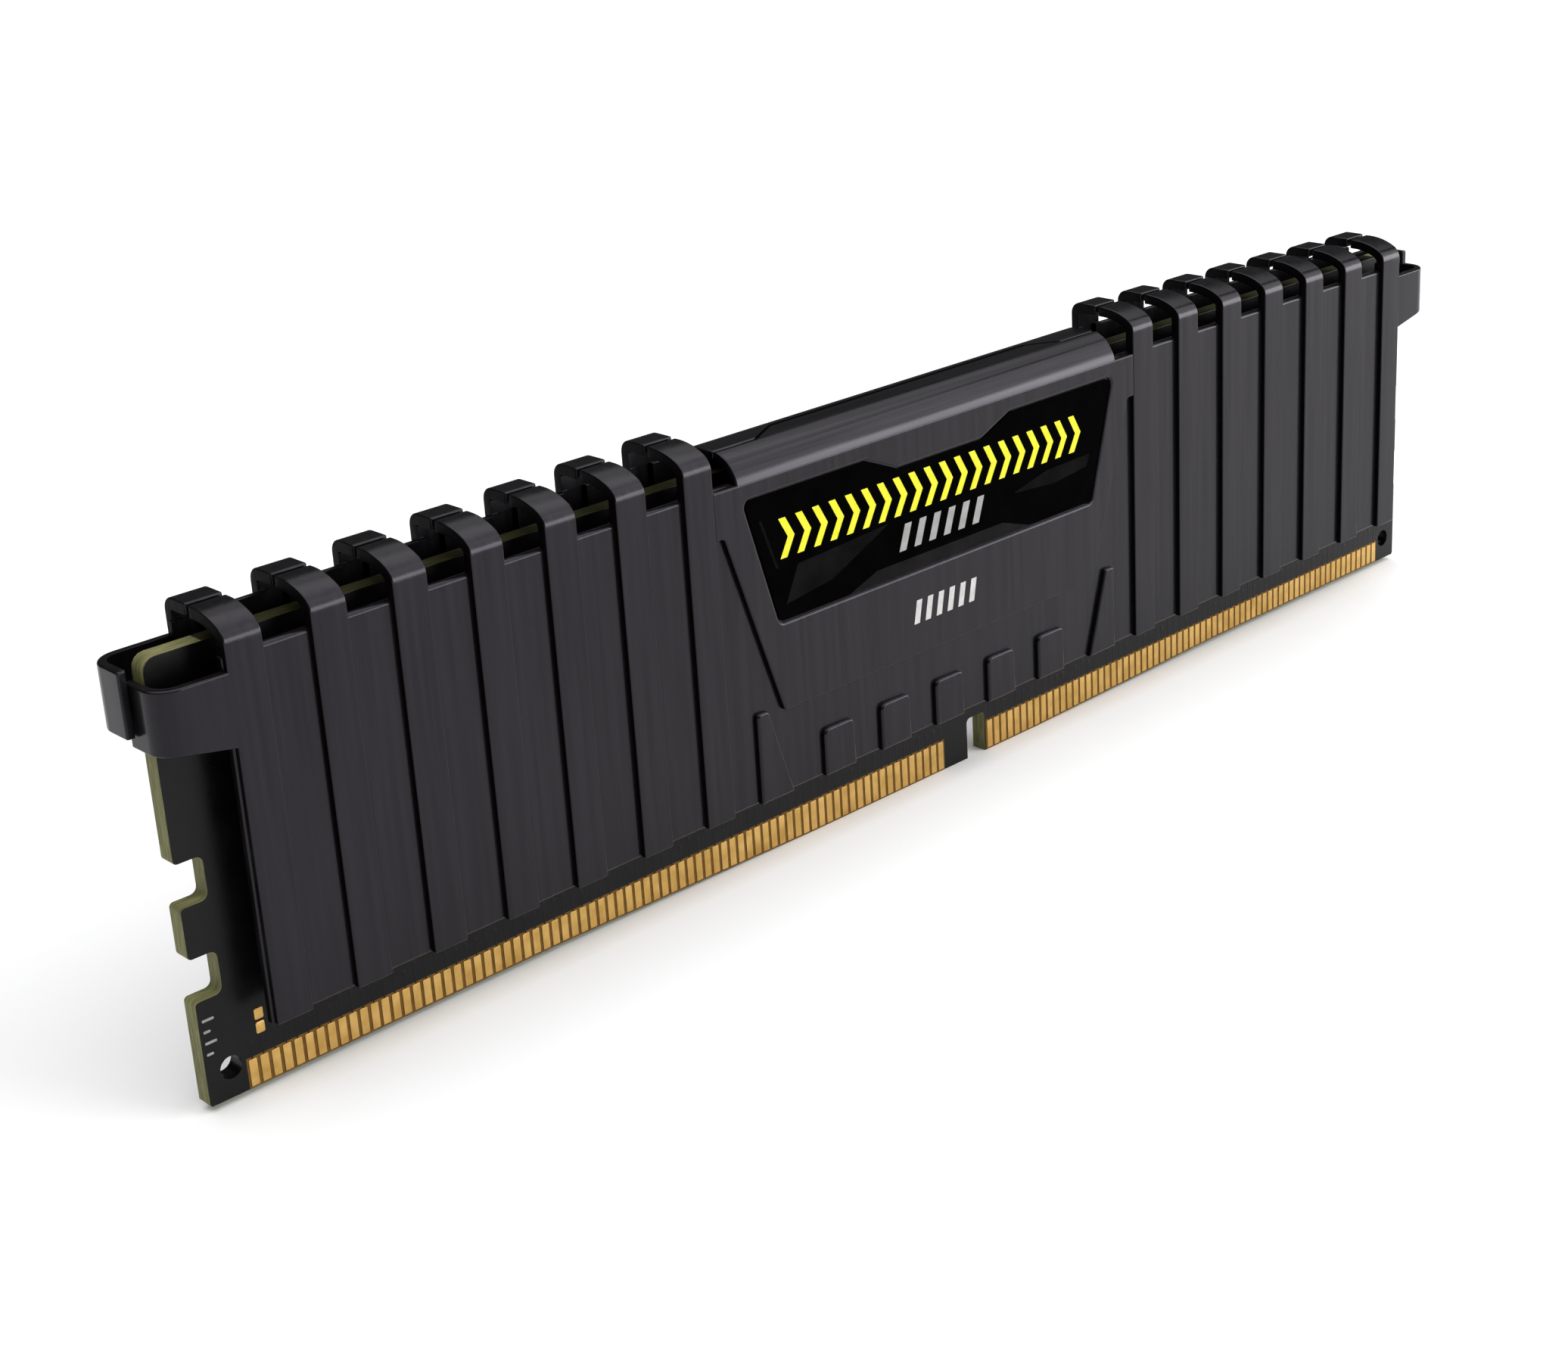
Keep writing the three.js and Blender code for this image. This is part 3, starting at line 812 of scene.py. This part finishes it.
def panels(face):
    """The panel reaches up to the notch floors beside the lip, and to the lip's root under it."""
    under_lip = LIP_HALF + BEYOND
    end, middle = NOTCH_FLOORS[face]
    beside = [
        (LIP_HALF, PLATE_BOTTOM, PANEL_RADIUS),
        (PANEL_HALF, PLATE_BOTTOM, PANEL_RADIUS),
        (PANEL_HALF, end, PANEL_RADIUS),
        (LIP_HALF, middle, PANEL_RADIUS),
    ]
    areas = [box(-under_lip, PLATE_BOTTOM, under_lip, PANEL_TOP, PANEL_RADIUS), beside, mirrored(beside)]
    heights = levels(PANEL_INNER, PANEL, *PANEL_EDGES)
    return [stack(corners, heights, on_side(SIDES[face])) for corners in areas]


def lip(side):
    """The wide strap in the middle, folded over the board in soft bends."""
    reach = -TONGUE_Y if side < 0 else SHOULDER_Y + SEAM
    line = open_line([(FACE, PANEL_TOP - BEYOND), *LIP_LINE, LIP_FLAT, (reach, LIP_TOP)])
    return folded_sheet(line, lambda depth, z: (-LIP_HALF, LIP_HALF), lambda depth, z: SHEET, across_x(side))


def lip_trim(side):
    """What is cut off the lip: the front one ends in a tongue, the rear one in its recess."""
    gap = 0 if side < 0 else SEAM
    end = LIP_HALF + BEYOND
    far = -side * (FACE + BEYOND)
    seam = [
        (TONGUE_HALF, TONGUE_Y + gap, SEAM_RADIUS),
        (SHOULDER_HALF, SHOULDER_Y + gap, SEAM_RADIUS),
        (end, SHOULDER_Y + gap),
    ]
    corners = [*mirrored(seam), *seam, (end, far), (-end, far)]
    if side > 0:
        corners.reverse()
    return stack(corners, [(0, PANEL_TOP + BEYOND), (0, PANEL_TOP + 4 * BEYOND)], upright)


def ear(side, end, wall, tip, top, root_bottom, tip_bottom):
    """An ear carries on from the face, turns round the end of the board and ends in a tab."""
    corners = [(wall, tip), (wall, FACE, EAR_RADIUS)]
    if wall - EAR_RADIUS >= EAR_TAPER_END:
        corners.append((EAR_TAPER_END, FACE))
    corners += [(PLATE_HALF, FACE), (EAR_ROOT, FACE)]

    def span(x, depth):
        along = min(max((x - PLATE_HALF) / (EAR_TAPER_END - PLATE_HALF), 0), 1)
        return root_bottom + along * (tip_bottom - root_bottom), top

    def place(x, depth, z):
        return (end * x, side * depth, z)

    return folded_sheet(open_line(corners, 8), span, lambda x, depth: SHEET, place)


def label_corners():
    right = [(*corner, LABEL_RADIUS) for corner in LABEL]
    right += [(*corner, LABEL_NOTCH_RADIUS) for corner in LABEL_NOTCH]
    return right + mirrored(right)


def pocket(side):
    """The label's pocket, whose rim rolls over softly onto the face."""
    heights = [(POCKET_MARGIN + out, FACE + up) for out, up in POCKET_RIM]
    return stack(label_corners(), heights, on_side(side), 8)


def paint_plate(plate):
    """Painted shade as a darker, rougher finish on faces that look along X, the cut edges and rib walls, but
    not on the ears, and a lip brushed lengthwise.
    """
    plate.data.materials.clear()
    for key in PLATE_PAINTS:
        plate.data.materials.append(MATERIAL[key])
    for polygon in plate.data.polygons:
        x, _, z = polygon.center
        paint = "anodised"
        # Faces that look along X, cut edges and rib walls alike, get painted shade.
        if abs(polygon.normal.x) > MOSTLY and abs(x) < PANEL_HALF + TINY:
            paint = "cut"
        elif z > PANEL_TOP and abs(x) < LIP_HALF + TINY:
            paint = "lip"
        polygon.material_index = PLATE_PAINTS.index(paint)


def build_spreader(face):
    """One stamped plate: ribs that become straps, shield, tabs, folded lip and two ears."""
    side = SIDES[face]
    boss, shield_hollow = shield(side)
    tab_bosses, tab_hollows = tabs(side)
    middle, *beside = panels(face)
    plate = make_object(f"stamped_spreader_{face}", [middle], MATERIAL["anodised"])
    combine(plate, "UNION", [*beside, boss, *tab_bosses])
    combine(plate, "UNION", [rib_and_strap(face, x, **STRAPS[face]) for x in rib_edges()])
    hollows = [shield_hollow, *tab_hollows, *[rib_hollow(face, x) for x in rib_edges()]]
    combine(plate, "DIFFERENCE", [*hollows, pocket(side)])
    folded = make_object("folded_lip", [lip(side)])
    combine(folded, "DIFFERENCE", [lip_trim(side)])
    apply_boolean(plate, "UNION", folded)
    combine(plate, "UNION", [ear(side, end, **EARS[face]) for end in HALVES.values()])
    paint_plate(plate)
    finish_piece(plate, [f"heat_spreader_{face}"])


# ---- the labels ---------------------------------------------------------------------------------

LABEL_FLOOR = FACE - POCKET_DEPTH
LABEL_FACE = LABEL_FLOOR + LABEL_THICKNESS


def build_label(face):
    heights = levels(LABEL_FLOOR, LABEL_FACE, TINY, LABEL_EDGE, 2)
    shell = stack(label_corners(), heights, on_side(SIDES[face]), 8)
    name = f"label_{face}"
    finish_piece(make_object(f"film_{name}", [shell], MATERIAL["label"]), [name])


def printed(name, face, shapes, material, base=LABEL_FACE):
    """Flat print: thin shapes that lie on a surface."""
    heights = [(0, base - TINY / 2), (0, base + PRINT)]
    shells = [stack(corners, heights, on_side(SIDES[face]), 2) for corners in shapes]
    finish_piece(make_object(name, shells, MATERIAL[material]))


def slanted(x, z, width, height, lean=0.35):
    """A parallelogram that leans to the right."""
    top_x = x + lean * height
    return [(x, z), (x + width, z), (top_x + width, z + height), (top_x, z + height)]


def chevron(x, z, height, stroke, lean=0.55):
    """A slanted arrowhead that points to the right."""
    reach = lean * height / 2
    middle = z + height / 2
    return [
        (x, z),
        (x + stroke, z),
        (x + stroke + reach, middle),
        (x + stroke, z + height),
        (x, z + height),
        (x + reach, middle),
    ]


def build_front_print():
    """Facets, a grey panel, a row of yellow chevrons and grey bars on the label, and marks on the face."""
    facets = [
        [(-17, 20.6), (-12.2, 21.2), (-6, 23.9), (-15.6, 23.4)],
        [(8.2, 22.6), (13.2, 22.2), (17.2, 22.6), (17.6, 23.6), (12.2, 23.5)],
        [(-19.2, 27.6), (-18.95, 27.6), (-17.55, 23.6), (-17.8, 23.6)],
    ]
    panel = [(-10.5, 19.45), (10, 19.45), (6.8, 20.5), (-7.5, 20.5)]
    chevrons = [chevron(x, z=24.2, height=3.1, stroke=0.68) for x in spaced(-17.3, 1.7, 20)]
    bars = [slanted(x, z=21.3, width=0.75, height=2.1) for x in spaced(-5, 1.65, 6)]
    marks = [slanted(x, z=15, width=0.6, height=1.9, lean=0.2) for x in spaced(-3.8, 1.25, 6)]
    printed("label_facets", "front", facets, "label_facet")
    printed("label_panel", "front", [panel], "label_grey")
    printed("label_chevrons", "front", chevrons, "yellow")
    printed("label_bars", "front", bars, "silver")
    printed("face_marks", "front", marks, "white", FACE)


def rear_rows(chance, left=-16, right=2, height=0.5, gap=0.5):
    """Rows of short bars of random widths, which fill a block."""
    bars = []
    for foot in spaced(20.6, 1.35, 6):
        x = left
        while x < right:
            width = chance.uniform(0.8, 2.6)
            bars.append(box(x, foot, x + width, foot + height, 0.05))
            x += width + gap
    return bars


def rear_lines(chance, left=5.5, right=16, foot=21, top=26.4):
    """Upright lines of random widths at random distances."""
    lines = []
    x = left
    while x < right:
        width = chance.choice((0.12, 0.2, 0.34))
        lines.append(box(x, foot, x + width, top))
        x += width + chance.choice((0.15, 0.25, 0.4))
    return lines


def build_rear_print():
    """A plain specification panel: rows of short bars, and a block of vertical lines."""
    chance = random.Random("rear label")
    printed("rear_label_rows", "rear", rear_rows(chance), "silver")
    printed("rear_label_lines", "rear", rear_lines(chance), "white")


# ---- what lies under the plates -----------------------------------------------------------------


def cad_block(name):
    """A CAD node's lowest and highest corners in millimetres, and its nearest and furthest depths."""
    low, high = (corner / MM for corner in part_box(name))
    depths = sorted((abs(low.y), abs(high.y)))
    return low, high, depths


def build_chip(face, number):
    """A moulded package on its substrate."""
    name = f"memory_chip_{face}_{number}"
    low, high, (near, far) = cad_block(name)
    place = on_side(SIDES[face])
    top = near + CHIP_SUBSTRATE
    base = stack(box(low.x, low.z, high.x, high.z, 0.05), levels(near, top, TINY, 0.03, 1), place, 2)
    inner = box(low.x + CHIP_INSET, low.z + CHIP_INSET, high.x - CHIP_INSET, high.z - CHIP_INSET, 0.15)
    body = stack(inner, levels(top - CHIP_OVERLAP, far, TINY, CHIP_EDGE, 2), place, 3)
    chip = make_object(f"package_{name}", [base, body], MATERIAL["mould"], MATERIAL["substrate"])
    for polygon in chip.data.polygons[: len(base[1])]:
        polygon.material_index = 1
    finish_piece(chip, [name])


def build_passive(name, face, material):
    """A small surface-mounted part: a body between two bright end caps."""
    low, high, (near, far) = cad_block(name)
    cap = (high.x - low.x) * CAP_SHARE
    spans = [(low.x, low.x + cap, 0), (low.x + cap, high.x - cap, CAP_STEP), (high.x - cap, high.x, 0)]
    shells = []
    for left, right, inset in spans:
        corners = box(left, low.z + inset, right, high.z - inset, 0.03)
        shells.append(stack(corners, levels(near, far - inset, TINY, 0.05, 2), on_side(SIDES[face]), 2))
    piece = make_object(f"part_{name}", shells, MATERIAL["solder"], MATERIAL[material])
    each = len(shells[0][1])
    for polygon in piece.data.polygons[each: 2 * each]:
        polygon.material_index = 1
    finish_piece(piece, [name])


def build_thermal_pad(face, half):
    name = f"thermal_pad_{face}_{half}"
    low, high, (near, far) = cad_block(name)
    shell = stack(box(low.x, low.z, high.x, high.z, 0.4), levels(near, far, 0.15, 0.15), on_side(SIDES[face]))
    finish_piece(make_object(f"gel_{name}", [shell], MATERIAL["thermal"]), [name])


def build_detect_chip():
    low, high, (near, far) = cad_block("presence_detect_chip")
    corners = box(low.x, low.z, high.x, high.z, 0.08)
    shell = stack(corners, levels(near, far, TINY, CHIP_EDGE, 2), on_side(SIDES["front"]), 2)
    piece = make_object("package_presence_detect_chip", [shell], MATERIAL["mould"])
    finish_piece(piece, ["presence_detect_chip"])


def build_inner_parts(face):
    for number in range(1, CHIP_COUNT + 1):
        build_chip(face, number)
    for number in range(1, PASSIVE_COUNT + 1):
        build_passive(f"resistor_array_{face}_{number}", face, "mould")
        build_passive(f"capacitor_{face}_{number}", face, "ceramic")
    for half in HALVES:
        build_thermal_pad(face, half)


# ---- floor, light and camera --------------------------------------------------------------------

AIM = Vector((1.71, 6.28, 15.94)) * MM
DISTANCE = 201.93 * MM
AZIMUTH = -44.4
ELEVATION = 19.62
ROLL = 2.76
LENS = 56.68
SHIFT = (-0.0585, -0.0667)
FLOOR_SIZE = 8

SUN_SEEN_AT = (0.02, -0.08, 1)
LIGHT_WIDTH = 0.9
LIGHT_TARGET = (0, 0, 0.02)
AREA_LIGHTS = {
    "low_strip": {"energy": 5.2, "position": (0.53, -0.54, 0.12), "size_y": 0.23},
    "front_softbox": {"energy": 4.2, "position": (0.62, -0.62, 0.51), "size_y": 0.62},
    "back_softbox": {"energy": 0.8, "position": (0.66, 0.36, 0.74), "size_y": 0.34},
}


def build_floor():
    bpy.ops.mesh.primitive_plane_add(size=FLOOR_SIZE, location=(0, 0, 0))
    floor = bpy.context.object
    floor.name = "floor"
    material, tree, shader = new_material("pale_floor", (0.95, 0.95, 0.95), 1.0, specular=0.0)
    tone = add_tone(tree, add_noise(tree, 40.0), (0.94, 0.94, 0.94), (0.96, 0.96, 0.96))
    tree.links.new(tone, shader.inputs["Base Color"])
    floor.data.materials.append(material)


def build_world():
    """A dim room, seen as pale where the camera looks straight at it."""
    world = bpy.data.worlds.new("room")
    bpy.context.scene.world = world
    world.use_nodes = True
    tree = world.node_tree
    dim = tree.nodes["Background"]
    dim.inputs["Color"].default_value = (0.05, 0.05, 0.052, 1)
    pale = tree.nodes.new("ShaderNodeBackground")
    pale.inputs["Color"].default_value = (0.95, 0.95, 0.95, 1)
    path = tree.nodes.new("ShaderNodeLightPath")
    choose = tree.nodes.new("ShaderNodeMixShader")
    tree.links.new(path.outputs["Is Camera Ray"], choose.inputs["Fac"])
    tree.links.new(dim.outputs["Background"], choose.inputs[1])
    tree.links.new(pale.outputs["Background"], choose.inputs[2])
    tree.links.new(choose.outputs["Shader"], tree.nodes["World Output"].inputs["Surface"])


def add_light(name, kind, energy, position, target, **settings):
    data = bpy.data.lights.new(name, kind)
    data.energy = energy
    for key, value in settings.items():
        setattr(data, key, value)
    light = bpy.data.objects.new(name, data)
    light.visible_camera = False
    light.location = position
    light.rotation_mode = "QUATERNION"
    light.rotation_quaternion = (Vector(target) - Vector(position)).to_track_quat("-Z", "Y")
    bpy.context.scene.collection.objects.link(light)


def build_lights():
    """Soft light from above, a low strip and a softbox in front to the right, and a softbox behind."""
    add_light("overhead", "SUN", 3.0, SUN_SEEN_AT, (0, 0, 0), angle=math.radians(86))
    for name, settings in AREA_LIGHTS.items():
        add_light(name, "AREA", target=LIGHT_TARGET, shape="RECTANGLE", size=LIGHT_WIDTH, **settings)


def build_camera():
    azimuth = math.radians(AZIMUTH)
    elevation = math.radians(ELEVATION)
    back = Vector((
        math.sin(azimuth) * math.cos(elevation),
        -math.cos(azimuth) * math.cos(elevation),
        math.sin(elevation),
    ))
    data = bpy.data.cameras.new("camera")
    data.lens = LENS
    data.shift_x, data.shift_y = SHIFT
    data.clip_start = 0.005
    camera = bpy.data.objects.new("camera", data)
    bpy.context.scene.collection.objects.link(camera)
    level = (-back).to_track_quat("-Z", "Y").to_matrix().to_4x4()
    tilt = Matrix.Rotation(-math.radians(ROLL), 4, "Z")
    camera.matrix_world = Matrix.Translation(AIM + back * DISTANCE) @ level @ tilt
    bpy.context.scene.camera = camera


# ---- the scene ----------------------------------------------------------------------------------

build_camera()
build_board()
build_test_pads()
build_ticks()
build_detect_chip()
for each_face in SIDES:
    for each_half in HALVES:
        build_contacts(each_face, each_half)
    build_traces(each_face)
    build_inner_parts(each_face)
    build_spreader(each_face)
    build_label(each_face)
build_front_print()
build_rear_print()
build_floor()
build_world()
build_lights()
bpy.context.scene.view_settings.view_transform = "Standard"
